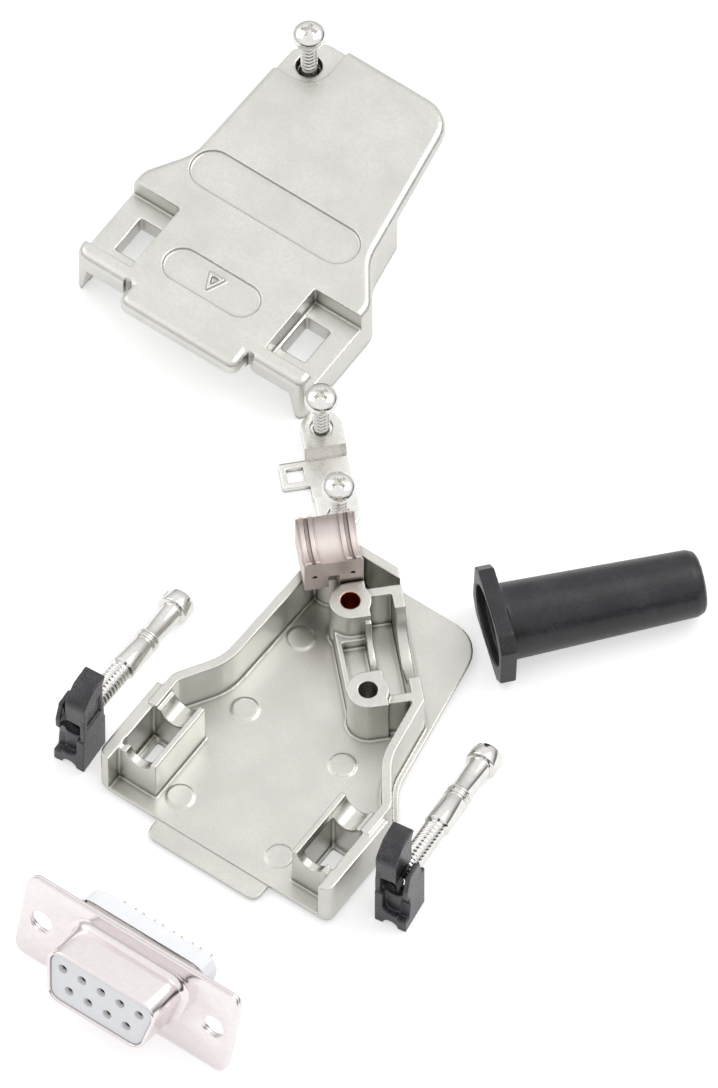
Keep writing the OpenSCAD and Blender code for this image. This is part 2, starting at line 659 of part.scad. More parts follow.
// Clip of the right-hand side; its solid side faces the hood
module clip_body() difference() {
    union() {
        // Lower block, its outer side reaching higher than its middle
        translate([-clip_w / 2, -clip_d / 2, 0]) cube([clip_w, clip_d, clip_hole_z - 0.9]);
        translate([jack_r + 0.15, -clip_d / 2 + 0.5, clip_hole_z - 1])
            cube([clip_w / 2 - jack_r - 0.15, clip_d - 0.5, 1.3]);
        // Spine past the screw, and the neck round it
        translate([-clip_w / 2, -clip_d / 2 + 1, 0]) cube([1.1, clip_d - 1.6, clip_h - 1]);
        translate([-clip_w / 2, -1.2, clip_hole_z - 1])
            cube([clip_w / 2 + 0.9, 2.4, 2.9]);
        // Thumb block with its round back and its lip
        translate([-clip_w / 2, 0, 0]) rotate([90, 0, 90]) linear_extrude(clip_w - 1.5)
            thumb_profile();
        // Barb that hooks into the chamber's wall
        translate([0, -clip_d / 2, 0]) rotate([90, 0, 90]) linear_extrude(1.2)
            polygon([[0.5, clip_hole_z + 0.6], [-1.1, clip_hole_z + 1.3],
                     [-0.3, clip_hole_z + 1.7], [1.4, clip_hole_z + 2.4], [1.4, clip_hole_z + 0.6]]);
    }
    // Bore of the screw, eased for the play that the open side gives
    for (t = [0, -jack_tilt]) translate([0, 0, clip_hole_z]) rotate([90 + t, 0, 0])
        cylinder(r = jack_r + running_fit, h = 3 * clip_d, center = true);
    // Open side that snaps over the screw
    translate([0, -clip_d, clip_hole_z + 0.35]) cube([clip_w, 2 * clip_d, 1.05]);
    // Arch between the feet and the round recess above it
    translate([0, -clip_d, 0]) rotate([-90, 0, 0]) cylinder(r = 0.95, h = 2 * clip_d);
    translate([-0.95, -clip_d, -1]) cube([1.9, 2 * clip_d, 1.4]);
    translate([0.2, -clip_d / 2 - 1, 3.6]) rotate([-90, 0, 0]) cylinder(r = 1.25, h = 1.9);
    translate([-1.05, -clip_d / 2 - 1, 3.6]) cube([2.5, 1.9, clip_hole_z - 3.6]);
    // Panel sunk into the solid side, below the lip
    translate([-clip_w / 2 - 1, -clip_d / 2 + 1.2, clip_hole_z - 0.9])
        cube([1.3, clip_d, 3.4]);
}

// Side view of the thumb block: Y across, Z up
module thumb_profile()
    flat([[-clip_d / 2 + 0.4, clip_hole_z + 1.8, 0.3], [clip_d / 2 - 0.5, clip_hole_z + 1.8, 0.3],
          [clip_d / 2 - 0.3, clip_h - 1, 0.4], [clip_d / 2 + 0.3, clip_h, 0.2],
          [-0.3, clip_h, 0.8], [-clip_d / 2 + 0.2, clip_h - 1.6, 1.5]]);

// The left clip is the right one mirrored
module place_clip(side) clip_place(side) mirror([side < 0 ? 1 : 0, 0, 0]) children();

module jackscrew_clip_left() color([0.17, 0.17, 0.18]) place_clip(-1) clip_body();
module jackscrew_clip_right() color([0.17, 0.17, 0.18]) place_clip(1) clip_body();

// ---- grommet ---------------------------------------------------------------

// Grommet along +X, the flange's inner face at X = 0
module grommet_body() difference() {
    union() {
        rotate([90, 0, 90]) linear_extrude(grommet_flange_t) flat(flange_octagon());
        rotate([0, 90, 0]) rotate_extrude() polygon([
            [0, 0], [grommet_r, 0], [grommet_r, grommet_flange_t + 1],
            [grommet_tip_r, grommet_l - 1.2], [grommet_tip_r - 0.35, grommet_l - 0.35],
            [grommet_tip_r - 1, grommet_l], [0, grommet_l]
        ]);
    }
    translate([-1, 0, 0]) rotate([0, 90, 0]) cylinder(r = grommet_bore_r, h = grommet_l + 2);
}

// Flange outline with cut corners
function flange_octagon() =
    let (w = grommet_flange_w / 2, h = grommet_flange_h / 2, c = 1.7, r = 0.3)
    [[-w + c, -h, r], [w - c, -h, r], [w, -h + c, r], [w, h - c, r],
     [w - c, h, r], [-w + c, h, r], [-w, h - c, r], [-w, -h + c, r]];

// Lies in front of the exit, its tip sunk to the bench
module cable_grommet() color([0.16, 0.16, 0.17])
    at_exit() translate([exit_x + grommet_gap, grommet_shift]) rotate(grommet_heading - exit_angle)
        translate([0, 0, grommet_flange_h / 2]) rotate([0, grommet_tilt, 0]) grommet_body();

// ---- connector -------------------------------------------------------------

// Drawn with its flange's front face at Y = 0, mating side towards -Y; stands
// on the flange's rear edge and leans back onto its rear body
module place_connector() translate([connector_x, -connector_dy, 2 * flange_t * sin(lean)])
    rotate([-lean, 0, 0]) translate([0, 0, flange_h / 2]) children();

function d_corners(w, h, r) =
    let (dx = h / 2 * tan(shell_slope))
    [[-w / 2 + dx * 2, -h / 2, r], [w / 2 - dx * 2, -h / 2, r], [w / 2, h / 2, r], [-w / 2, h / 2, r]];

// Plate in the plane of the flange from y0 over the given depth
module upright(y0, depth) translate([0, y0 + depth, 0]) rotate([90, 0, 0])
    linear_extrude(depth) children();

module flange_plan() difference() {
    flat(box_corners(-flange_w / 2, -flange_h / 2, flange_w / 2, flange_h / 2, 1.5));
    for (s = [-1, 1]) translate([s * jack_x, 0]) circle(flange_hole_r);
}

// Centre of contact i, 1 to 5 in the upper row and 6 to 9 in the lower
function contact_at(i) = i <= 5
    ? [(i - 3) * contact_pitch, row_pitch / 2]
    : [(i - 7.5) * contact_pitch, -row_pitch / 2];

module contact_pattern() for (i = [1:9]) translate(contact_at(i)) children();

module connector_front_shell() color([0.87, 0.83, 0.82]) place_connector() {
    upright(0, flange_t) difference() {
        flange_plan();
        flat(d_corners(shell_w, shell_h, 2), flange_t);
    }
    upright(-shell_l, shell_l + eps) difference() {
        flat(d_corners(shell_w, shell_h, 2));
        flat(d_corners(shell_w, shell_h, 2), flange_t);
    }
    // Drawn root of the shell
    upright(-0.35, 0.36) difference() {
        flat(d_corners(shell_w, shell_h, 2), -0.4);
        flat(d_corners(shell_w, shell_h, 2), eps);
    }
}

module connector_rear_flange() color([0.85, 0.81, 0.8]) place_connector() {
    upright(flange_t, flange_t) difference() {
        flange_plan();
        flat(d_corners(rear_body[0] - 2, rear_body[1] - 2, 2), 0);
    }
    upright(2 * flange_t - eps, 1.2) difference() {
        flat(d_corners(rear_body[0] + 0.9, rear_body[1] + 0.9, 2.2));
        flat(d_corners(rear_body[0] + 0.1, rear_body[1] + 0.1, 2));
    }
}

module connector_front_insulator() color([0.94, 0.94, 0.96]) place_connector()
    upright(-shell_l + 0.3, shell_l - 0.3) difference() {
        flat(d_corners(shell_w, shell_h, 2), flange_t + 0.05);
        contact_pattern() circle(contact_hole_r);
    }

module connector_rear_insulator() color([0.9, 0.91, 0.92]) place_connector() {
    upright(eps, 2 * flange_t) difference() {
        flat(d_corners(shell_w, shell_h, 2), flange_t + 0.05);
        contact_pattern() circle(contact_hole_r + 0.25);
    }
    upright(2 * flange_t, body_depth - flange_t) difference() {
        flat(d_corners(rear_body[0], rear_body[1], 2));
        contact_pattern() circle(contact_hole_r + 0.25);
    }
    // Scalloped sockets round the solder cups
    upright(body_depth + flange_t - eps, 1.4) difference() {
        contact_pattern() circle(cup_r + 0.5);
        contact_pattern() circle(cup_r + 0.05);
    }
}

// Machined socket contact: sleeve in the insulators and open solder cup behind
module contact(i) color([0.9, 0.88, 0.82]) place_connector()
    translate([contact_at(i)[0], 0, contact_at(i)[1]]) rotate([-90, 0, 0]) {
        tube_r = contact_hole_r - 0.04;
        translate([0, 0, -shell_l + 0.9]) difference() {
            cylinder(r = tube_r, h = shell_l + body_depth + flange_t - 0.9);
            translate([0, 0, -1]) cylinder(r = tube_r - 0.18, h = 5);
        }
        translate([0, 0, body_depth + flange_t]) difference() {
            cylinder(r = cup_r, h = cup_l);
            translate([0, 0, 0.5]) cylinder(r = cup_r - 0.25, h = cup_l);
            translate([-cup_r, -cup_r - 1, 1.6]) cube([2 * cup_r, cup_r + 1, cup_l]);
        }
    }

// ---- the bench -------------------------------------------------------------

// Carries a piece from the closed hood to its place on the bench
module on_bench(piece) {
    cover_at = [-hood_w / 2 - cover_dx, hood_l + cover_dy];
    bracket_at = [cover_at[0] + hood_w / 2 + bracket_dx - clamp_x, hood_l + bracket_dy - clamp_y];
    if (piece == "cover")
        translate([cover_at[0], cover_at[1], -parting_z]) children();
    else if (piece == "cover_screw")
        translate([cover_at[0], cover_at[1], cover_screw_l - hood_h + ear_drop]) children();
    else if (piece == "bracket")
        translate([bracket_at[0], bracket_at[1], bracket_step - clamp_boss_top]) children();
    else if (piece == "clamp_screw")
        translate([bracket_at[0], bracket_at[1], clamp_screw_l - clamp_boss_top - bracket_t])
            children();
    else
        translate([cover_screw_at[0] - clamp_x + jaw_l / 2 * cos(exit_angle),
                   cover_screw_at[1] - jaw_dy - clamp_y + jaw_l / 2 * sin(exit_angle),
                   parting_z - clamp_pad_top]) children();
}

base_shell();
cover_shell();
cover_screw();
clamp_bracket();
clamp_screw_front();
clamp_screw_rear();
clamp_jaw();
jackscrew_left();
jackscrew_right();
jackscrew_clip_left();
jackscrew_clip_right();
cable_grommet();
connector_front_shell();
connector_rear_flange();
connector_front_insulator();
connector_rear_insulator();
for (i = [1:9]) contact(i);
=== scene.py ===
"""Looks of the unpacked D-sub hood kit: castings, clamp, jackscrews, clips, grommet and connector."""

import json
import math

import bmesh
import bpy
from mathutils import Matrix, Vector


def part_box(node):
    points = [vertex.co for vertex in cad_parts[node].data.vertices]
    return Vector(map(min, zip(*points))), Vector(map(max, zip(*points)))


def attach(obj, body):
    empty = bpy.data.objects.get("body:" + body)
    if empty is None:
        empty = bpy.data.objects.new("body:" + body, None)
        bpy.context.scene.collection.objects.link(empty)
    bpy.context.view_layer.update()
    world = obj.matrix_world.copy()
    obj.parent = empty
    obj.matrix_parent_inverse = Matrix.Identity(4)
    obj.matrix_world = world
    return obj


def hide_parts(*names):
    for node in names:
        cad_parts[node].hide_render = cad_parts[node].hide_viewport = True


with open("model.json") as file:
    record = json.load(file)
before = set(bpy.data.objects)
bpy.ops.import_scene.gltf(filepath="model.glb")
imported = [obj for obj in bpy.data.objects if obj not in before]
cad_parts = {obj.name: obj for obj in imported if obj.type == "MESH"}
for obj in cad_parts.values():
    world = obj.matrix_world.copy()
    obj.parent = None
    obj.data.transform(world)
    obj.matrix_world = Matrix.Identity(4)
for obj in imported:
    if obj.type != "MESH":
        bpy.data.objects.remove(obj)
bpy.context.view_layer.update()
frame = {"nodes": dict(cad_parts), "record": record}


# Two dark stretches low down in the room give bright metal its edges.

MM = 0.001
VIEW_AZIMUTH = math.radians(35.4)
VIEW_ELEVATION = math.radians(57.7)
VIEW_HEIGHT = 130.0 * MM
VIEW_MIDDLE = Vector((-10.01, 44.09, 3.5)) * MM
LENS = 1000.0
SENSOR = 36.0

front_side = Vector((math.sin(VIEW_AZIMUTH), -math.cos(VIEW_AZIMUTH), 0.0))
towards_camera = front_side * math.cos(VIEW_ELEVATION) + Vector((0.0, 0.0, math.sin(VIEW_ELEVATION)))


def put_in_scene(name, data):
    thing = bpy.data.objects.new(name, data)
    bpy.context.scene.collection.objects.link(thing)
    return thing


camera_data = bpy.data.cameras.new("camera")
camera_data.lens = LENS
camera_data.sensor_width = SENSOR
camera_data.clip_start = 0.1
camera_data.clip_end = 20
camera = put_in_scene("camera", camera_data)
camera.location = VIEW_MIDDLE + towards_camera * (VIEW_HEIGHT * LENS / SENSOR)
camera.rotation_euler = (-towards_camera).to_track_quat("-Z", "Y").to_euler()
bpy.context.scene.camera = camera
bpy.context.scene.view_settings.view_transform = "Standard"


def linear(hex_colour):
    """The linear colour of an sRGB hex value such as "#d8d8d4"."""
    levels = [int(hex_colour[i:i + 2], 16) / 255 for i in (1, 3, 5)]
    return [x / 12.92 if x <= 0.04045 else ((x + 0.055) / 1.055) ** 2.4 for x in levels] + [1.0]


def add(tree, kind, inputs=None, **settings):
    """A new node with its settings; inputs are values, or sockets to link from."""
    made = tree.nodes.new(kind)
    for name, value in settings.items():
        setattr(made, name, value)
    for name, value in (inputs or {}).items():
        if isinstance(value, bpy.types.NodeSocket):
            tree.links.new(value, made.inputs[name])
        else:
            made.inputs[name].default_value = value
    return made


def empty_material(name):
    """A material without nodes, and its node tree."""
    material = bpy.data.materials.new(name)
    material.use_nodes = True
    material.node_tree.nodes.clear()
    return material, material.node_tree


# Metal sees a bright sky that dims towards the horizon, and the two dark stretches: one below
# the camera, and a fainter one at the back on the right.
RIGHT_BACK = Vector((0.7, 0.714, 0.0))
world = bpy.data.worlds.new("studio")
bpy.context.scene.world = world
world.use_nodes = True
room = world.node_tree
room.nodes.clear()
direction = add(room, "ShaderNodeTexCoord").outputs["Generated"]
up = add(room, "ShaderNodeSeparateXYZ", {"Vector": direction}).outputs["Z"]
sky = add(room, "ShaderNodeMapRange",
          {"Value": up, "From Min": -0.05, "From Max": 0.7, "To Min": 0.55, "To Max": 1.02},
          interpolation_type="SMOOTHSTEP")
level = sky.outputs["Result"]
for towards, edge, core, top, left_over in ((front_side, 0.5, 0.85, 0.42, 0.05),
                                            (RIGHT_BACK, 0.8, 0.96, 0.4, 0.4)):
    facing = add(room, "ShaderNodeVectorMath", {0: direction, 1: towards}, operation="DOT_PRODUCT")
    beside = add(room, "ShaderNodeMapRange",
                 {"Value": facing.outputs["Value"], "From Min": edge, "From Max": core},
                 interpolation_type="SMOOTHSTEP")
    low = add(room, "ShaderNodeMapRange", {"Value": up, "From Min": top, "From Max": top / 2},
              interpolation_type="SMOOTHSTEP")
    dark = add(room, "ShaderNodeMath", {0: beside.outputs["Result"], 1: low.outputs["Result"]},
               operation="MULTIPLY")
    kept = add(room, "ShaderNodeMapRange",
               {"Value": dark.outputs[0], "To Min": 1.0, "To Max": left_over})
    level = add(room, "ShaderNodeMath", {0: level, 1: kept.outputs["Result"]},
                operation="MULTIPLY").outputs[0]
soft_fill = add(room, "ShaderNodeBackground", {"Color": linear("#ffffff"), "Strength": 0.84})
mirrored = add(room, "ShaderNodeBackground", {"Color": linear("#ffffff"), "Strength": level})
backdrop = add(room, "ShaderNodeBackground", {"Color": linear("#ffffff"), "Strength": 1.0})
ray = add(room, "ShaderNodeLightPath")
shiny = add(room, "ShaderNodeMixShader",
            {0: ray.outputs["Is Glossy Ray"], 1: soft_fill.outputs[0], 2: mirrored.outputs[0]})
seen = add(room, "ShaderNodeMath",
           {0: ray.outputs["Is Camera Ray"], 1: ray.outputs["Is Transmission Ray"]}, operation="MAXIMUM")
final = add(room, "ShaderNodeMixShader",
            {0: seen.outputs[0], 1: shiny.outputs[0], 2: backdrop.outputs[0]})
add(room, "ShaderNodeOutputWorld", {"Surface": final.outputs[0]})

# The bench card is pale grey paper that looks white to the camera and, less so, in reflections.
bench_material, tree = empty_material("white_bench_card")
ray = add(tree, "ShaderNodeLightPath")
card = add(tree, "ShaderNodeBsdfDiffuse", {"Color": linear("#dcdcdc")})
for_camera = add(tree, "ShaderNodeMath", {0: ray.outputs["Is Camera Ray"], 1: 0.5},
                 operation="MULTIPLY")
for_metal = add(tree, "ShaderNodeMath",
                {0: ray.outputs["Is Glossy Ray"], 1: 0.4, 2: for_camera.outputs[0]},
                operation="MULTIPLY_ADD")
lift = add(tree, "ShaderNodeEmission", {"Color": linear("#ffffff"), "Strength": for_metal.outputs[0]})
both = add(tree, "ShaderNodeAddShader", {0: card.outputs[0], 1: lift.outputs[0]})
add(tree, "ShaderNodeOutputMaterial", {"Surface": both.outputs[0]})

BENCH_HALF = 3.0
bench_mesh = bpy.data.meshes.new("bench")
bench_mesh.from_pydata(
    [(x * BENCH_HALF, y * BENCH_HALF, 0) for x, y in ((-1, -1), (1, -1), (1, 1), (-1, 1))],
    [], [(0, 1, 2, 3)])
bench_mesh.materials.append(bench_material)
put_in_scene("bench", bench_mesh)


def soft_box(name, place, size, power):
    lamp = bpy.data.lights.new(name, "AREA")
    lamp.shape = "SQUARE"
    lamp.size = size
    lamp.energy = power
    thing = put_in_scene(name, lamp)
    thing.location = place
    thing.rotation_euler = (VIEW_MIDDLE - Vector(place)).to_track_quat("-Z", "Y").to_euler()


soft_box("key_soft_box", (0.25, 0.45, 0.65), 0.5, 1.7)
soft_box("fill_soft_box", (-0.5, 0.0, 0.5), 0.5, 0.5)


# ---- Base and cover castings --------------------------------------------------------------
# Two zinc pressure die castings, tumbled so that every edge is soft, then plated with satin
# nickel: a fine even grit, a little cloudy, with painted shade that darkens the inner corners.
# Pieces are drawn in millimetres and brought to metres when they take their CAD node's place.

WELD = 0.003
CASTING_GRAIN = 0.13
CLOUD_SIZE = 5.0
PAINTED_SHADE_REACH = 1.1


def as_mesh(shape, name):
    """The bmesh as a mesh of its own."""
    mesh = bpy.data.meshes.new(name)
    shape.to_mesh(mesh)
    shape.free()
    return mesh


def cad_copy(node):
    """The node's solid in millimetres, its loose triangles joined into one closed mesh."""
    shape = bmesh.new()
    shape.from_mesh(frame["nodes"][node].data)
    bmesh.ops.transform(shape, matrix=Matrix.Scale(1 / MM, 4), verts=shape.verts)
    bmesh.ops.remove_doubles(shape, verts=shape.verts, dist=WELD)
    return as_mesh(shape, node + "_copy")


def reshaped(mesh, *steps):
    """The mesh after a stack of modifiers, each given as its type and its settings."""
    thing = put_in_scene("work", mesh)
    for kind, settings in steps:
        step = thing.modifiers.new(kind, kind)
        for name, value in settings.items():
            setattr(step, name, value)
    graph = bpy.context.evaluated_depsgraph_get()
    result = bpy.data.meshes.new_from_object(thing.evaluated_get(graph), depsgraph=graph)
    bpy.data.objects.remove(thing)
    return result


def soft_edged(mesh, grain, rounds, triangles):
    """The solid with its edges and corners rounded, as a casting or a moulding has them."""
    skin = reshaped(mesh, ("REMESH", {"mode": "VOXEL", "voxel_size": grain}),
                    ("SMOOTH", {"factor": 0.5, "iterations": rounds}))
    skin = reshaped(skin, ("DECIMATE", {"ratio": min(1.0, triangles / (2 * len(skin.polygons)))}))
    skin.shade_smooth()
    return reshaped(skin, ("WEIGHTED_NORMAL", {"weight": 50}))


def stand_in(name, mesh, material, node):
    """Puts a finished mesh, drawn in millimetres, in the place of its CAD node."""
    mesh.transform(Matrix.Scale(MM, 4))
    mesh.materials.clear()
    mesh.materials.append(material)
    piece = put_in_scene(name, mesh)
    bodies = frame["record"]["behaviour"]["bodies"]
    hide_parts(node)
    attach(piece, next(body for body, nodes in bodies.items() if node in nodes))


def satin_casting(name, colour, shade, roughness, grit_size, relief_depth):
    """Plated casting: grit in its gloss and relief, clouds of tone, and painted shade in its inner
    corners.
    """
    material, tree = empty_material(name)
    place = add(tree, "ShaderNodeTexCoord").outputs["Object"]
    grit = add(tree, "ShaderNodeTexNoise",
               {"Vector": place, "Scale": 1 / (grit_size * MM), "Detail": 3.0, "Roughness": 0.6})
    cloud = add(tree, "ShaderNodeTexNoise",
                {"Vector": place, "Scale": 1 / (CLOUD_SIZE * MM), "Detail": 2.0})
    uneven = add(tree, "ShaderNodeMath", {0: grit.outputs["Fac"], 1: cloud.outputs["Fac"]},
                 operation="MULTIPLY")
    tone = add(tree, "ShaderNodeMapRange", {"Value": uneven.outputs[0], "From Min": 0.12,
                                            "From Max": 0.4, "To Min": 0.15, "To Max": 0.0})
    # Painted shade: ambient occlusion darkens the skin towards the shade colour in inner corners.
    corner = add(tree, "ShaderNodeAmbientOcclusion", {"Distance": PAINTED_SHADE_REACH * MM}, samples=8)
    painted_corner_shade = add(tree, "ShaderNodeMapRange", {"Value": corner.outputs["AO"], "From Min": 0.4,
                                            "From Max": 0.92, "To Min": 1.0, "To Max": 0.0})
    mixed = add(tree, "ShaderNodeMath", {0: tone.outputs["Result"], 1: painted_corner_shade.outputs["Result"]},
                operation="MAXIMUM")
    skin = add(tree, "ShaderNodeMix", {0: mixed.outputs[0], 6: linear(colour), 7: linear(shade)},
               data_type="RGBA")
    rough = add(tree, "ShaderNodeMapRange", {"Value": grit.outputs["Fac"], "From Min": 0.3,
                                             "From Max": 0.7, "To Min": roughness - 0.04,
                                             "To Max": roughness + 0.06})
    relief = add(tree, "ShaderNodeBump", {"Height": grit.outputs["Fac"], "Strength": 0.5,
                                          "Distance": relief_depth * MM})
    metal = add(tree, "ShaderNodeBsdfPrincipled",
                {"Base Color": skin.outputs[2], "Metallic": 1.0, "Roughness": rough.outputs["Result"],
                 "Normal": relief.outputs["Normal"]})
    add(tree, "ShaderNodeOutputMaterial", {"Surface": metal.outputs["BSDF"]})
    return material


# The grit is about 0.1 mm on the real skin; it is drawn at 0.3 mm so that it shows.
# The second colour is the darker tone of the clouds, and is also painted as shade into the inner
# corners.
satin_nickel = satin_casting("satin_nickel_on_zinc", "#dddcd7", "#66655e", 0.34, 0.3, 0.03)
smooth_nickel = satin_casting("barrel_nickel_on_zinc", "#d8d7d1", "#57564f", 0.34, 0.3, 0.01)
# The rear clamp boss is tapped after plating, so its bore shows the copper flash under the nickel.
BOSS_BORE = (-4.39, 34.39)
TAPPED_RADIUS = 1.2
TAPPED_FADE = 0.1
tree = smooth_nickel.node_tree
place = add(tree, "ShaderNodeTexCoord").outputs["Object"]
inwards = add(tree, "ShaderNodeVectorMath", {0: place, 1: (BOSS_BORE[0] * MM, BOSS_BORE[1] * MM, 0)},
              operation="SUBTRACT")
flat = add(tree, "ShaderNodeVectorMath", {0: inwards.outputs[0], 1: (1, 1, 0)}, operation="MULTIPLY")
out = add(tree, "ShaderNodeVectorMath", {0: flat.outputs[0]}, operation="LENGTH")
tapped = add(tree, "ShaderNodeMapRange", {"Value": out.outputs["Value"],
                                          "From Min": (TAPPED_RADIUS + TAPPED_FADE) * MM,
                                          "From Max": TAPPED_RADIUS * MM})
metal = next(node for node in tree.nodes if node.type == "BSDF_PRINCIPLED")
tone = add(tree, "ShaderNodeMix", {0: tapped.outputs["Result"], 7: linear("#c07a48"),
                                   6: metal.inputs["Base Color"].links[0].from_socket}, data_type="RGBA")
tree.links.new(tone.outputs[2], metal.inputs["Base Color"])

stand_in("cover_casting", soft_edged(cad_copy("cover_shell"), CASTING_GRAIN, 3, 190000), satin_nickel,
         "cover_shell")
stand_in("base_casting", soft_edged(cad_copy("base_shell"), CASTING_GRAIN, 3, 195000), smooth_nickel,
         "base_shell")


# ---- Cover screw and clamp screws ---------------------------------------------------------
# Steel pan-head screws with a cross recess and a rolled thread, plated with bright nickel. Each
# stands in its hole, its tip on the bench.

def mottled(name, size, detail, colours, metallic, roughness):
    """A plated or moulded skin of two close tones in small clouds, its gloss between two values."""
    material, tree = empty_material(name)
    place = add(tree, "ShaderNodeTexCoord").outputs["Object"]
    cloud = add(tree, "ShaderNodeTexNoise",
                {"Vector": place, "Scale": 1 / (size * MM), "Detail": detail})
    tone = add(tree, "ShaderNodeMix",
               {0: cloud.outputs["Fac"], 6: linear(colours[0]), 7: linear(colours[1])}, data_type="RGBA")
    gloss = add(tree, "ShaderNodeMapRange", {"Value": cloud.outputs["Fac"], "From Min": 0.3,
                                             "From Max": 0.7, "To Min": roughness[0],
                                             "To Max": roughness[1]})
    skin = add(tree, "ShaderNodeBsdfPrincipled", {"Base Color": tone.outputs[2], "Metallic": metallic,
                                                  "Roughness": gloss.outputs["Result"]})
    add(tree, "ShaderNodeOutputMaterial", {"Surface": skin.outputs["BSDF"]})
    return material


bright_nickel = mottled("bright_nickel_plate", 0.8, 3.0, ("#f2f1ee", "#dcdad5"), 1.0, (0.07, 0.14))

# A rolled thread: a tube whose skin is drawn in by a ridge that climbs one pitch for each turn,
# with a plain chamfer at its lower end. The flank runs between two shares of a turn, counted
# from the crest.
THREAD_SIDES = 40
FLANK_START = 0.04
FLANK_END = 0.44
CHAMFER_LENGTH = 0.4
TIP_SHARE = 0.72
thread = bpy.data.node_groups.new("rolled_thread", "GeometryNodeTree")
for label, kind in (("Radius", "NodeSocketFloat"), ("Depth", "NodeSocketFloat"),
                    ("Pitch", "NodeSocketFloat"), ("Length", "NodeSocketFloat"),
                    ("Rings", "NodeSocketInt")):
    thread.interface.new_socket(label, in_out="INPUT", socket_type=kind)
thread.interface.new_socket("Thread", in_out="OUTPUT", socket_type="NodeSocketGeometry")
asked = add(thread, "NodeGroupInput").outputs
tube = add(thread, "GeometryNodeMeshCylinder",
           {"Vertices": THREAD_SIDES, "Side Segments": asked["Rings"], "Radius": asked["Radius"],
            "Depth": asked["Length"]})
point = add(thread, "GeometryNodeInputPosition").outputs[0]
split = add(thread, "ShaderNodeSeparateXYZ", {0: point}).outputs
angle = add(thread, "ShaderNodeMath", {0: split["Y"], 1: split["X"]}, operation="ARCTAN2")
turn = add(thread, "ShaderNodeMath", {0: angle.outputs[0], 1: math.tau}, operation="DIVIDE")
climb = add(thread, "ShaderNodeMath", {0: split["Z"], 1: asked["Pitch"]}, operation="DIVIDE")
phase = add(thread, "ShaderNodeMath", {0: climb.outputs[0], 1: turn.outputs[0]}, operation="SUBTRACT")
ridge = add(thread, "ShaderNodeMath", {0: phase.outputs[0], 1: 0.5}, operation="PINGPONG")
flank = add(thread, "ShaderNodeMapRange", {"Value": ridge.outputs[0], "From Min": FLANK_START,
                                           "From Max": FLANK_END, "To Min": 0.0, "To Max": 1.0})
cut = add(thread, "ShaderNodeMath", {0: asked["Depth"], 1: asked["Radius"]}, operation="DIVIDE")
drawn_in = add(thread, "ShaderNodeMath", {0: cut.outputs[0], 1: flank.outputs["Result"]},
               operation="MULTIPLY")
full = add(thread, "ShaderNodeMath", {0: 1.0, 1: drawn_in.outputs[0]}, operation="SUBTRACT")
half_length = add(thread, "ShaderNodeMath", {0: asked["Length"], 1: 0.5}, operation="MULTIPLY")
from_end = add(thread, "ShaderNodeMath", {0: split["Z"], 1: half_length.outputs[0]}, operation="ADD")
chamfer = add(thread, "ShaderNodeMapRange", {"Value": from_end.outputs[0], "From Min": 0.0,
                                             "From Max": CHAMFER_LENGTH, "To Min": TIP_SHARE,
                                             "To Max": 1.0})
share = add(thread, "ShaderNodeMath", {0: full.outputs[0], 1: chamfer.outputs["Result"]},
            operation="MINIMUM")
across = add(thread, "ShaderNodeVectorMath", {0: point, "Scale": share.outputs[0]}, operation="SCALE")
flat = add(thread, "ShaderNodeSeparateXYZ", {0: across.outputs[0]}).outputs
moved = add(thread, "ShaderNodeCombineXYZ", {"X": flat["X"], "Y": flat["Y"], "Z": split["Z"]})
wound = add(thread, "GeometryNodeSetPosition", {"Geometry": tube.outputs["Mesh"],
                                                "Position": moved.outputs[0]})
real = add(thread, "GeometryNodeRealizeInstances", {"Geometry": wound.outputs[0]})
plated = add(thread, "GeometryNodeSetMaterial", {"Geometry": real.outputs[0], "Material": bright_nickel})
add(thread, "NodeGroupOutput", {"Thread": plated.outputs[0]})


RINGS_PER_TURN = 8


def threaded(radius, depth, pitch, top, bottom):
    """A plain mesh of one threaded length along Z, between two heights."""
    sizes = {"Radius": radius, "Depth": depth, "Pitch": pitch, "Length": top - bottom,
             "Rings": round(RINGS_PER_TURN * (top - bottom) / pitch)}
    holder = put_in_scene("thread", bpy.data.meshes.new("thread"))
    roller = holder.modifiers.new("thread", "NODES")
    roller.node_group = thread
    for socket in thread.interface.items_tree:
        if socket.name in sizes:
            roller[socket.identifier] = sizes[socket.name]
    graph = bpy.context.evaluated_depsgraph_get()
    rod = bpy.data.meshes.new_from_object(holder.evaluated_get(graph), depsgraph=graph)
    bpy.data.objects.remove(holder)
    rod.transform(Matrix.Translation((0, 0, (top + bottom) / 2)))
    rod.shade_smooth()
    return rod


def turned_part(profile, sides=64):
    """A closed turned shape: the profile of (radius, height) points is spun round Z."""
    shape = bmesh.new()
    rings = []
    for radius, z in profile:
        count = sides if radius > 0 else 1
        rings.append([shape.verts.new((radius * math.cos(math.tau * i / sides),
                                       radius * math.sin(math.tau * i / sides), z))
                      for i in range(count)])
    for one, two in zip(rings, rings[1:]):
        for i in range(sides):
            corners = [one[i % len(one)], one[(i + 1) % len(one)], two[(i + 1) % len(two)],
                       two[i % len(two)]]
            shape.faces.new(list(dict.fromkeys(corners)))
    bmesh.ops.recalc_face_normals(shape, faces=shape.faces)
    return as_mesh(shape, "turned")


SHARP = math.radians(34)


def wedge(top, top_z, bottom, bottom_z, turn):
    """A cutter with a rectangular top and bottom, half sizes given, turned about Z."""
    corners = [(-1, -1), (1, -1), (1, 1), (-1, 1)]
    points = [(x * half[0], y * half[1], z) for half, z in ((bottom, bottom_z), (top, top_z))
              for x, y in corners]
    mesh = bpy.data.meshes.new("cutter")
    mesh.from_pydata(points, [], [(3, 2, 1, 0), (4, 5, 6, 7), (0, 1, 5, 4), (1, 2, 6, 5),
                                  (2, 3, 7, 6), (3, 0, 4, 7)])
    mesh.transform(Matrix.Rotation(turn, 4, "Z"))
    return mesh


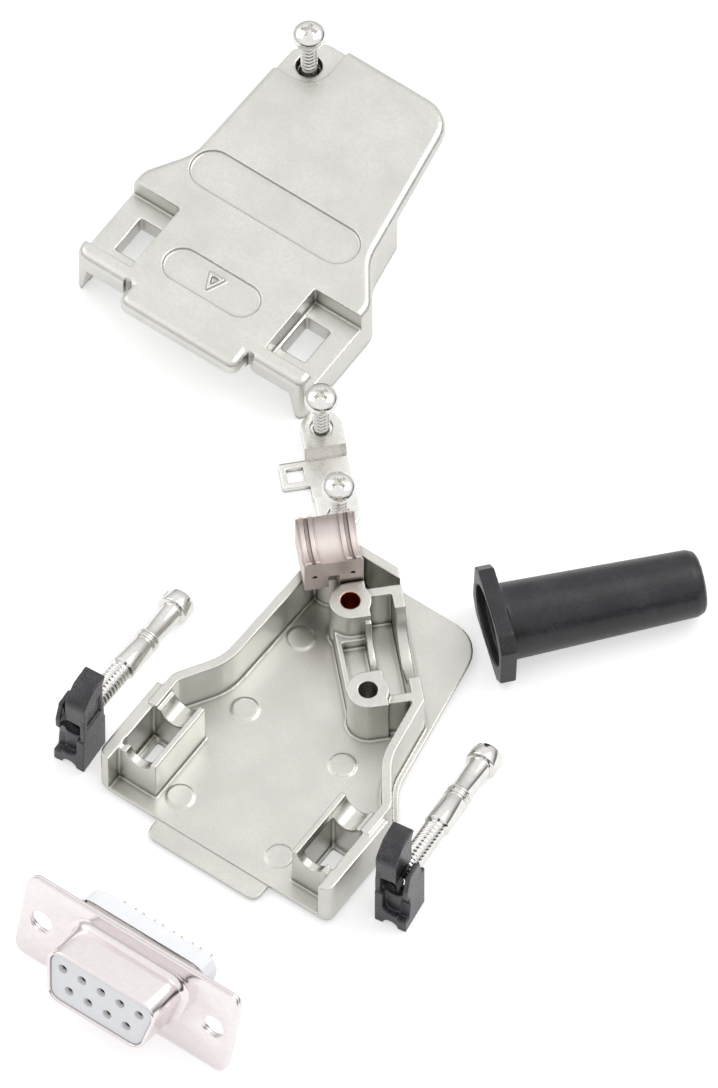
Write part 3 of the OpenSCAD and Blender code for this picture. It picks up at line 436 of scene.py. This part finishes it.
def cut_away(mesh, cutters, edge):
    """The mesh with the cutters taken out of it; its sharp edges are broken by a bevel, if asked."""
    tools = [put_in_scene("cutter", cutter) for cutter in cutters]
    steps = [("BOOLEAN", {"object": tool, "operation": "DIFFERENCE", "solver": "EXACT"})
             for tool in tools]
    if edge:
        steps.append(("BEVEL", {"width": edge, "segments": 2, "limit_method": "ANGLE",
                                "angle_limit": math.radians(38)}))
    result = reshaped(mesh, *steps)
    for tool in tools:
        bpy.data.objects.remove(tool)
    result.shade_smooth()
    result.set_sharp_from_angle(angle=SHARP)
    return result


def joined(*meshes):
    """One mesh that holds them all."""
    shape = bmesh.new()
    for mesh in meshes:
        shape.from_mesh(mesh)
    return as_mesh(shape, "joined")


# The real pitch is 0.45 mm; it is drawn at 0.7 mm so that its turns show.
SCREW_RADIUS = 1.05
SCREW_PITCH = 0.7
SCREW_THREAD_DEPTH = 0.28
HEAD_RADIUS = 2.1
HEAD_HEIGHT = 1.7
HEAD_RIM = 0.5
CROSS_TOP = (1.2, 0.3)
CROSS_FLOOR = (0.5, 0.2)
CROSS_DEPTH = 0.95
RECESS_EDGE = 0.05
for node, turn in (("cover_screw", 20), ("clamp_screw_front", 75), ("clamp_screw_rear", 75)):
    low_corner, high_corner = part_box(node)
    middle = (Vector(low_corner) + Vector(high_corner)) / 2 / MM
    head_z = high_corner[2] / MM - HEAD_HEIGHT
    dome = [(HEAD_RADIUS * math.cos(a), HEAD_RIM + (HEAD_HEIGHT - HEAD_RIM) * math.sin(a))
            for a in (math.radians(d) for d in range(0, 90, 9))]
    head = turned_part([(0, -0.7), (0.9, -0.7), (0.95, -0.2), (1.15, 0), (HEAD_RADIUS - 0.12, 0),
                        (HEAD_RADIUS - 0.02, 0.1), (HEAD_RADIUS, 0.25), *dome, (0, HEAD_HEIGHT)])
    arms = [wedge(CROSS_TOP, HEAD_HEIGHT + 0.3, CROSS_FLOOR, HEAD_HEIGHT - CROSS_DEPTH,
                  math.radians(turn + a)) for a in (0, 90)]
    screw = joined(cut_away(head, arms, RECESS_EDGE),
                   threaded(SCREW_RADIUS, SCREW_THREAD_DEPTH, SCREW_PITCH, -0.45, 0.02 - head_z))
    screw.transform(Matrix.Translation((middle[0], middle[1], head_z)))
    stand_in(node + "_turned", screw, bright_nickel, node)


# ---- Cable clamp bracket ------------------------------------------------------------------
# A strap pressed from 0.8 mm steel sheet, its middle stepped down, with a slotted tab; the
# blanked edges are rolled a little and the whole is plated with bright nickel.

def arc(x, y, radius, first, last, steps=8):
    """Points on an arc, its angles in degrees."""
    angles = [math.radians(first + (last - first) * k / steps) for k in range(steps + 1)]
    return [(x + radius * math.cos(a), y + radius * math.sin(a)) for a in angles]


def rounded_box(half_x, half_y, radius):
    """The outline of a box with round corners about the origin."""
    return [point for sx, sy, first in ((1, 1, 0), (-1, 1, 90), (-1, -1, 180), (1, -1, 270))
            for point in arc(sx * (half_x - radius), sy * (half_y - radius), radius,
                             first, first + 90, 6)]


def sheet(outlines, thickness, edge):
    """A flat plate in the XY plane with holes; its top is at Z = 0 and its edges are rolled."""
    curve = bpy.data.curves.new("sheet", "CURVE")
    curve.dimensions = "2D"
    curve.fill_mode = "BOTH"
    curve.extrude = thickness / 2 - edge
    curve.bevel_depth = edge
    curve.bevel_resolution = 2
    curve.offset = -edge
    for outline in outlines:
        line = curve.splines.new("POLY")
        line.points.add(len(outline) - 1)
        for spot, place in zip(line.points, outline):
            spot.co = (place[0], place[1], 0, 1)
        line.use_cyclic_u = True
    mesh = reshaped(curve)
    mesh.transform(Matrix.Translation((0, 0, -thickness / 2)))
    shape = bmesh.new()
    shape.from_mesh(mesh)
    bmesh.ops.remove_doubles(shape, verts=shape.verts, dist=0.001)
    bmesh.ops.recalc_face_normals(shape, faces=shape.faces)
    shape.to_mesh(mesh)
    shape.free()
    mesh.shade_smooth()
    mesh.set_sharp_from_angle(angle=SHARP)
    return mesh


joints = {joint["name"]: joint for joint in frame["record"]["behaviour"]["joints"]}
STRAP_THICKNESS = 0.8
STRAP_EDGE = 0.12
STRAP_HALF_WIDTH = 2.55
STRAP_CORNER = 2.3
STRAP_HOLE_RADIUS = 1.35
END_MARGIN = 2.15
STRAP_STEP = 1.5
FLAT_HALF = 2.7
SLOPE_END = 3.5
TAB_LENGTH = 3.35
TAB_SHIFT = 1.0
TAB_HALF = 1.8
TAB_CORNER = 0.3
SLOT_INSET = 0.8
SLOT_LENGTH = 2.1
SLOT_HALF = 0.95
front_joint = Vector(joints["clamp_screw_front_turn"]["pos_m"]) / MM
rear_joint = Vector(joints["clamp_screw_rear_turn"]["pos_m"]) / MM
half_pitch = (rear_joint - front_joint).length / 2
corner_x = STRAP_HALF_WIDTH - STRAP_CORNER
corner_y = half_pitch + END_MARGIN - STRAP_CORNER
tab_end = -STRAP_HALF_WIDTH - TAB_LENGTH
blank = [*arc(corner_x, corner_y, STRAP_CORNER, 0, 90),
         *arc(-corner_x, corner_y, STRAP_CORNER, 90, 180),
         (-STRAP_HALF_WIDTH, TAB_SHIFT + TAB_HALF),
         *arc(tab_end + TAB_CORNER, TAB_SHIFT + TAB_HALF - TAB_CORNER, TAB_CORNER, 90, 180, 4),
         *arc(tab_end + TAB_CORNER, TAB_SHIFT - TAB_HALF + TAB_CORNER, TAB_CORNER, 180, 270, 4),
         (-STRAP_HALF_WIDTH, TAB_SHIFT - TAB_HALF),
         *arc(-corner_x, -corner_y, STRAP_CORNER, 180, 270),
         *arc(corner_x, -corner_y, STRAP_CORNER, 270, 360)]
slot_x = tab_end + SLOT_INSET
slot_hole = [(slot_x, TAB_SHIFT - SLOT_HALF), (slot_x + SLOT_LENGTH, TAB_SHIFT - SLOT_HALF),
             (slot_x + SLOT_LENGTH, TAB_SHIFT + SLOT_HALF), (slot_x, TAB_SHIFT + SLOT_HALF)]
screw_holes = [arc(0, y, STRAP_HOLE_RADIUS, 0, 337.5, 15) for y in (-half_pitch, half_pitch)]
strap = sheet([blank, slot_hole, *screw_holes], STRAP_THICKNESS, STRAP_EDGE)
pressed = bmesh.new()
pressed.from_mesh(strap)
for y in (-SLOPE_END, -FLAT_HALF, FLAT_HALF, SLOPE_END):
    bmesh.ops.bisect_plane(pressed, geom=[*pressed.verts, *pressed.edges, *pressed.faces],
                           plane_co=(0, y, 0), plane_no=(0, 1, 0))
for point in pressed.verts:
    share = (SLOPE_END - abs(point.co.y)) / (SLOPE_END - FLAT_HALF)
    point.co.z -= STRAP_STEP * min(1.0, max(0.0, share))
bmesh.ops.recalc_face_normals(pressed, faces=pressed.faces)
pressed.to_mesh(strap)
pressed.free()
strap.set_sharp_from_angle(angle=SHARP)
run = (rear_joint - front_joint).normalized()
middle = (front_joint + rear_joint) / 2
strap.transform(Matrix.Translation((middle[0], middle[1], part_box("clamp_bracket")[1][2] / MM))
                @ Matrix(((run.y, run.x, 0), (-run.x, run.y, 0), (0, 0, 1))).to_4x4())
# As on the castings, the second colour is also painted as shade into nooks and corners.
bracket_plate = satin_casting("nickel_on_steel_sheet", "#eeece8", "#8a8780", 0.24, 0.8, 0.004)
stand_in("clamp_strap", strap, bracket_plate, "clamp_bracket")


# ---- Clamp jaw ----------------------------------------------------------------------------
# A small zinc die casting with a ribbed cradle, left unplated: matt and warm grey, with painted shade
# darkening its corners and the hollows between its ribs.

bare_zinc = satin_casting("bare_zinc_casting", "#e2d8d3", "#84766f", 0.48, 0.35, 0.02)
JAW_GRAIN = 0.07
stand_in("clamp_jaw_casting", soft_edged(cad_copy("clamp_jaw"), JAW_GRAIN, 3, 60000), bare_zinc,
         "clamp_jaw")


# ---- Jackscrews ---------------------------------------------------------------------------
# Turned steel screws, nickel plated, with a slotted head, a neck, a thicker middle that starts
# with a double-grooved collar, an undercut and a rolled 4-40 thread that sits in its clip. The
# outline gives the radius at each distance from the head's end.

HEAD_END = 23.5
HEAD = 2.05
NECK = 1.42
MIDDLE = 1.62
GROOVE = 1.34
UNDERCUT = 1.12
SLOT_HALF_WIDTH = 0.32
SLOT_DEPTH = 1.5
JACK_PITCH = 0.635
JACK_THREAD_DEPTH = 0.26
jack_outline = [
    (0, 0), (1.8, 0), (1.97, 0.06), (HEAD, 0.25), (HEAD, 1.9), (1.98, 2.1), (1.8, 2.2),
    (NECK + 0.1, 2.2), (NECK, 2.32), (NECK, 7.5), (MIDDLE - 0.05, 7.6), (MIDDLE, 7.7),
    (MIDDLE, 7.88), (GROOVE, 7.95), (GROOVE, 8.3), (MIDDLE, 8.37),
    (MIDDLE, 8.68), (GROOVE, 8.75), (GROOVE, 9.1), (MIDDLE, 9.17),
    (MIDDLE, 13.6), (MIDDLE - 0.1, 13.72), (UNDERCUT + 0.04, 13.9), (UNDERCUT, 14.0),
    (UNDERCUT, 14.3), (1.05, 14.9), (0, 14.9)]
for side, turn in (("left", 35), ("right", 30)):
    node = "jackscrew_" + side
    joint = joints[node + "_turn"]
    axis = Vector(joint["axis"]).normalized()
    body = turned_part([(radius, -along) for radius, along in jack_outline], 72)
    slot = wedge((3, SLOT_HALF_WIDTH), 1.0, (3, SLOT_HALF_WIDTH), -SLOT_DEPTH, math.radians(turn))
    screw = joined(cut_away(body, [slot], RECESS_EDGE),
                   threaded(NECK, JACK_THREAD_DEPTH, JACK_PITCH, -14.15, -23.98))
    lie = axis.to_track_quat("Z", "Y").to_matrix().to_4x4()
    screw.transform(Matrix.Translation(Vector(joint["pos_m"]) / MM + axis * HEAD_END) @ lie)
    stand_in(node + "_turned", screw, bright_nickel, node)


# ---- Jackscrew clips ----------------------------------------------------------------------
# Clips moulded in black nylon, one the mirror image of the other. The skin is fine-grained and
# picks up a grey sheen; mould flow leaves faint lighter clouds.

def black_moulding(name, colour, bloom, roughness, grain_size):
    """Black plastic or rubber: a fine moulded grain, a pale bloom in soft clouds, and painted shade in
    inner corners.
    """
    material, tree = empty_material(name)
    place = add(tree, "ShaderNodeTexCoord").outputs["Object"]
    grain = add(tree, "ShaderNodeTexNoise",
                {"Vector": place, "Scale": 1 / (grain_size * MM), "Detail": 4.0, "Roughness": 0.65})
    cloud = add(tree, "ShaderNodeTexNoise", {"Vector": place, "Scale": 1 / (3 * MM), "Detail": 3.0})
    mixed = add(tree, "ShaderNodeMath", {0: grain.outputs["Fac"], 1: cloud.outputs["Fac"]},
                operation="MULTIPLY")
    pale = add(tree, "ShaderNodeMapRange",
               {"Value": mixed.outputs[0], "From Min": 0.2, "From Max": 0.42})
    skin = add(tree, "ShaderNodeMix",
               {0: pale.outputs["Result"], 6: linear(colour), 7: linear(bloom)}, data_type="RGBA")
    # Painted shade: ambient occlusion darkens the skin to near black in inner corners.
    corner = add(tree, "ShaderNodeAmbientOcclusion", {"Distance": 1.2 * MM}, samples=8)
    painted_corner_shade = add(tree, "ShaderNodeMapRange", {"Value": corner.outputs["AO"], "From Min": 0.3,
                                            "From Max": 0.9, "To Min": 0.85, "To Max": 0.0})
    skin = add(tree, "ShaderNodeMix", {0: painted_corner_shade.outputs["Result"], 6: skin.outputs[2],
                                       7: linear("#101011")}, data_type="RGBA")
    rough = add(tree, "ShaderNodeMapRange", {"Value": grain.outputs["Fac"], "From Min": 0.3,
                                             "From Max": 0.7, "To Min": roughness - 0.08,
                                             "To Max": roughness + 0.08})
    relief = add(tree, "ShaderNodeBump", {"Height": grain.outputs["Fac"], "Strength": 0.35,
                                          "Distance": 0.03 * MM})
    body = add(tree, "ShaderNodeBsdfPrincipled",
               {"Base Color": skin.outputs[2], "Roughness": rough.outputs["Result"],
                "Normal": relief.outputs["Normal"]})
    add(tree, "ShaderNodeOutputMaterial", {"Surface": body.outputs["BSDF"]})
    return material


def slab(outline, low_x, high_x):
    """A closed slab: an outline of (Y, Z) points, carried across X."""
    count = len(outline)
    points = [(x, y, z) for x in (low_x, high_x) for y, z in outline]
    sides = [(i, (i + 1) % count, count + (i + 1) % count, count + i) for i in range(count)]
    mesh = bpy.data.meshes.new("slab")
    mesh.from_pydata(points, [], [tuple(range(count))[::-1], tuple(range(count, 2 * count)), *sides])
    shape = bmesh.new()
    shape.from_mesh(mesh)
    bmesh.ops.recalc_face_normals(shape, faces=shape.faces)
    shape.to_mesh(mesh)
    shape.free()
    return mesh


nylon = black_moulding("black_nylon_moulding", "#2e2c30", "#524f55", 0.3, 0.25)
CLIP_GRAIN = 0.08
CLIP_HALF = 2.1
CHEEK = 0.62
PANEL_DEPTH = 0.28
for side, mirror in (("left", -1), ("right", 1)):
    node = "jackscrew_clip_" + side
    joint = joints[f"jackscrew_{side}_turn"]
    stand = Vector(joint["pos_m"]) / MM
    heading = math.atan2(-joint["axis"][0], joint["axis"][1])
    # The inner cheek runs from the foot to the thumb; the outer one ends above the screw.
    cheeks = [slab([(-2.3, 0.5), (-1.9, 0), (2.0, 0), (2.4, 0.6), (2.2, 9), (1.9, 13.4),
                    (-2.0, 12.9), (-2.3, 9)], -CLIP_HALF, CHEEK - CLIP_HALF),
              slab([(-1.9, 0.5), (-1.5, 0), (2.1, 0), (2.4, 0.6), (1.7, 8), (0.9, 10.6),
                    (-1.3, 10.6), (-2.1, 8.2)], CLIP_HALF - CHEEK, CLIP_HALF)]
    # A panel is sunk into the inner cheek, the thumb is undercut below its lip, and the front
    # is notched above the outer foot.
    hollows = [slab([(-1.6, 8.4), (1.5, 8.4), (1.3, 12.3), (-1.4, 11.9)],
                    -3, PANEL_DEPTH - CLIP_HALF),
               slab([(2.0, 9.2), (4, 9.2), (4, 13.9), (2.0, 13.7)], -3, 3),
               slab([(-4, 1.9), (-1.5, 1.9), (-1.2, 4.4), (-1.5, 6.4), (-4, 6.4)], 1.0, 3)]
    for piece in cheeks + hollows:
        piece.transform(Matrix.Translation((stand[0], stand[1], 0)) @ Matrix.Rotation(heading, 4, "Z")
                        @ Matrix.Diagonal((mirror, 1, 1, 1)))
        if mirror < 0:
            piece.flip_normals()
    clip = reshaped(joined(cad_copy(node), *cheeks),
                    ("REMESH", {"mode": "VOXEL", "voxel_size": CLIP_GRAIN}))
    stand_in(f"clip_{side}_moulding", soft_edged(cut_away(clip, hollows, 0), CLIP_GRAIN, 9, 50000),
             nylon, node)


# ---- Cable grommet ------------------------------------------------------------------------
# A sleeve of black rubber with an eight-sided flange that sits in the hood's trough. The rubber
# is matt, with a dusty bloom and a soft edge all round.

rubber = black_moulding("black_rubber_moulding", "#1b191d", "#302d32", 0.37, 0.4)
mounts = {mount["name"]: mount for mount in frame["record"]["mounts"]}
bore = mounts["cable_bore"]
along = Vector(bore["axis"])
across = Vector((0, 0, 1)).cross(along).normalized()
middle = Vector(bore["pos_m"]) / MM - along * bore["dims"]["length_mm"] / 2
lie = Matrix.Translation(middle) @ Matrix((along, across, along.cross(across))).transposed().to_4x4()
RECESS_WIDTH = 10.8
RECESS_HEIGHT = 7.8
RECESS_DEPTH = 1.3
RUBBER_GRAIN = 0.16
rim_angles = [math.tau * i / 48 for i in range(48)]
recess = slab([(RECESS_WIDTH / 2 * math.cos(a), RECESS_HEIGHT / 2 * math.sin(a)) for a in rim_angles],
              -1, RECESS_DEPTH)
recess.transform(lie)
sleeve = cut_away(cad_copy("cable_grommet"), [recess], 0)
stand_in("grommet_moulding", soft_edged(sleeve, RUBBER_GRAIN, 4, 60000), rubber, "cable_grommet")


# ---- Connector ----------------------------------------------------------------------------
# A nine-way socket connector: two drawn steel shells with a smooth tin plate clamp a white
# polyester body in two halves. It stands on its flange and leans back on its rear body. It is
# drawn about the flange's front, with Y away from the plug; outlines are (width, height, corner).

FLANGE = (30.81, 12.55, 1.5)
HOLE_RADIUS = 1.525
HOLE_SIDE = 12.495
SHEET = 0.45
SHEET_EDGE = 0.07
SHELL = (16.33, 7.9, 2.0)
SHELL_REACH = 6.1
SIDE_SLANT = math.radians(10)


def d_outline(width, height, corner, grow=0.0, steps=8):
    """The D-shaped outline of a mating face, its wide side up, grown outwards all round."""
    foot = width / 2 - height * math.tan(SIDE_SLANT)
    corners = [Vector(p) for p in ((-foot, -height / 2), (foot, -height / 2),
                                   (width / 2, height / 2), (-width / 2, height / 2))]
    points = []
    for i, here in enumerate(corners):
        before = (here - corners[i - 1]).normalized()
        after = (corners[(i + 1) % 4] - here).normalized()
        out_1, out_2 = Vector((before.y, -before.x)), Vector((after.y, -after.x))
        middle = here - corner * (out_1 + out_2) / (1 + out_1.dot(out_2))
        start = math.atan2(out_1.y, out_1.x)
        sweep = out_1.angle(out_2)
        for k in range(steps + 1):
            a = start + sweep * k / steps
            points.append(middle + (corner + grow) * Vector((math.cos(a), math.sin(a))))
    return points


def upright(plate, front):
    """The plate stood up, so that its top faces the mating side at Y = front."""
    plate.transform(Matrix.Translation((0, front, 0)) @ Matrix.Rotation(math.pi / 2, 4, "X"))
    return plate


def drawn_wall(size, stations):
    """A closed wall that follows the D outline; stations are (growth, Y) round its section."""
    shape = bmesh.new()
    rings = [[shape.verts.new((p[0], y, p[1])) for p in d_outline(*size, grow)] for grow, y in stations]
    for one, two in zip(rings, rings[1:] + rings[:1]):
        for i in range(len(one)):
            k = (i + 1) % len(one)
            shape.faces.new((one[i], one[k], two[k], two[i]))
    bmesh.ops.recalc_face_normals(shape, faces=shape.faces)
    mesh = as_mesh(shape, "wall")
    mesh.shade_smooth()
    mesh.set_sharp_from_angle(angle=math.radians(50))
    return mesh


face = mounts["mating_face"]
back = -Vector(face["axis"]).normalized()
upwards = Vector((1, 0, 0)).cross(back)
flange_middle = Vector(face["pos_m"]) / MM + back * SHELL_REACH
seat = Matrix.Translation(flange_middle) @ Matrix(((1, back.x, upwards.x), (0, back.y, upwards.y),
                                                   (0, back.z, upwards.z))).to_4x4()

# Smooth tin over drawn steel: pale, a little rosy, faintly mottled, with blurred reflections.
tin_plate = mottled("smooth_tin_plate", 0.7, 4.0, ("#f4eeee", "#e8e0e0"), 1.0, (0.13, 0.21))

flange_outline = rounded_box(FLANGE[0] / 2, FLANGE[1] / 2, FLANGE[2])
holes = [arc(side * HOLE_SIDE, 0, HOLE_RADIUS, 0, 352.5, 47) for side in (-1, 1)]

# The shell's wall grows from the flange in a rounded root and ends in a rim rolled inwards.
ROOT = 0.9
wall = [(ROOT * (1 - math.cos(math.radians(a))), -ROOT * (1 - math.sin(math.radians(a))) - 0.02)
        for a in (90, 75, 60, 45, 30, 15, 0)]
rim = [(0.0, 0.35 - SHELL_REACH), (-0.04, 0.13 - SHELL_REACH), (-0.14, 0.02 - SHELL_REACH),
       (-0.25, -SHELL_REACH), (-0.36, 0.04 - SHELL_REACH), (-0.43, 0.18 - SHELL_REACH),
       (-SHEET, 0.5 - SHELL_REACH)]
front_flange = sheet([flange_outline, *holes, d_outline(*SHELL, ROOT - 0.1)], SHEET, SHEET_EDGE)
front_shell = joined(upright(front_flange, 0.0),
                     drawn_wall(SHELL, [*wall, *rim, (-SHEET, SHEET - 0.1), (ROOT, SHEET - 0.1)]))
front_shell.transform(seat)
stand_in("front_shell_drawn", front_shell, tin_plate, "connector_front_shell")

# The rear flange has a low collar round the rear body.
REAR_BODY = (19.2, 10.4, 2.0)
REAR_OPENING = (17.2, 8.4, 2.0)
collar_foot = 2 * SHEET - 0.05
rear_flange = joined(
    upright(sheet([flange_outline, *holes, d_outline(*REAR_OPENING)], SHEET, SHEET_EDGE), SHEET),
    drawn_wall(REAR_BODY, [(0.1, collar_foot), (0.1, 2.0), (0.2, 2.09), (0.35, 2.09), (0.45, 2.0),
                           (0.45, collar_foot)]))
rear_flange.transform(seat)
stand_in("rear_flange_drawn", rear_flange, tin_plate, "connector_rear_flange")

# Glass-filled polyester: hard and white with a cold lilac cast, and faint clouds.
polyester = mottled("white_polyester_moulding", 1.2, 3.0, ("#f8f8fb", "#eceef2"), 0.0, (0.38, 0.38))

PITCH = 2.77
ROW = 1.42
SOCKET_RADIUS = 0.62
BODY_EDGE = 0.12
REAR_BODY_GRAIN = 0.1
spots = [((i - 2) * PITCH, ROW) for i in range(5)] + [((i - 1.5) * PITCH, -ROW) for i in range(4)]
openings = [arc(x, z, SOCKET_RADIUS, 0, 348.75, 31) for x, z in spots]
front_body = upright(sheet([d_outline(*SHELL, -SHEET - 0.05), *openings], SHELL_REACH - 0.35, BODY_EDGE),
                     0.3 - SHELL_REACH)
front_body.transform(seat)
stand_in("front_body_moulding", front_body, polyester, "connector_front_insulator")
rear_body = soft_edged(cad_copy("connector_rear_insulator"), REAR_BODY_GRAIN, 3, 80000)
stand_in("rear_body_moulding", rear_body, polyester, "connector_rear_insulator")

# Turned copper-alloy contacts under a dull, warm tin plate. They keep their CAD mesh.
contact_tin = mottled("tin_on_turned_contact", 0.5, 3.0, ("#e6e2d8", "#cfc8ba"), 1.0, (0.3, 0.3))
for number in range(1, 10):
    contact = frame["nodes"][f"contact_{number}"].data
    contact.materials.clear()
    contact.materials.append(contact_tin)
